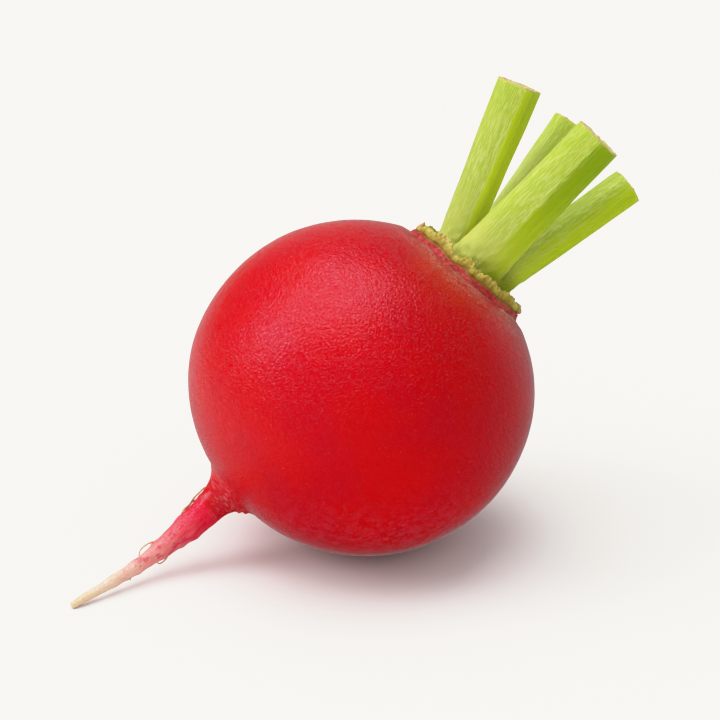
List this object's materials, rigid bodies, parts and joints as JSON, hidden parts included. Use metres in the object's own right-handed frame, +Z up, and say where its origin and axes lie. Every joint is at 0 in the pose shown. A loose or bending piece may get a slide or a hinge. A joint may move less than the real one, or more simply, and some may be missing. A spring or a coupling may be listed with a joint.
{
  "type": "radish",
  "caption": "Round red radish lying on its side, with a thin curved taproot and short leaf stalks cut square above the crown.",
  "frame": {"origin": "middle of the small flat spot under the bulb, which rests on the table", "axes": "+Z up, +X along the table towards the leaf end, +Y across the radish"},
  "size_m": [0.0606, 0.0338, 0.0459],
  "materials": {
    "root": "smooth waxy skin, softly shiny",
    "crown": "dry, rough, ragged",
    "leaf_stalk_upper": "fine ribs along the stalk, satin",
    "leaf_stalk_front": "fine ribs along the stalk, satin",
    "leaf_stalk_back": "fine ribs along the stalk, satin",
    "leaf_stalk_lower": "fine ribs along the stalk, satin"
  },
  "bodies": {
    "root": {"root": "root", "crown": "crown", "leaf_stalk_upper": "leaf_stalk_upper", "leaf_stalk_front": "leaf_stalk_front", "leaf_stalk_back": "leaf_stalk_back", "leaf_stalk_lower": "leaf_stalk_lower"}
  },
  "joints": []
}
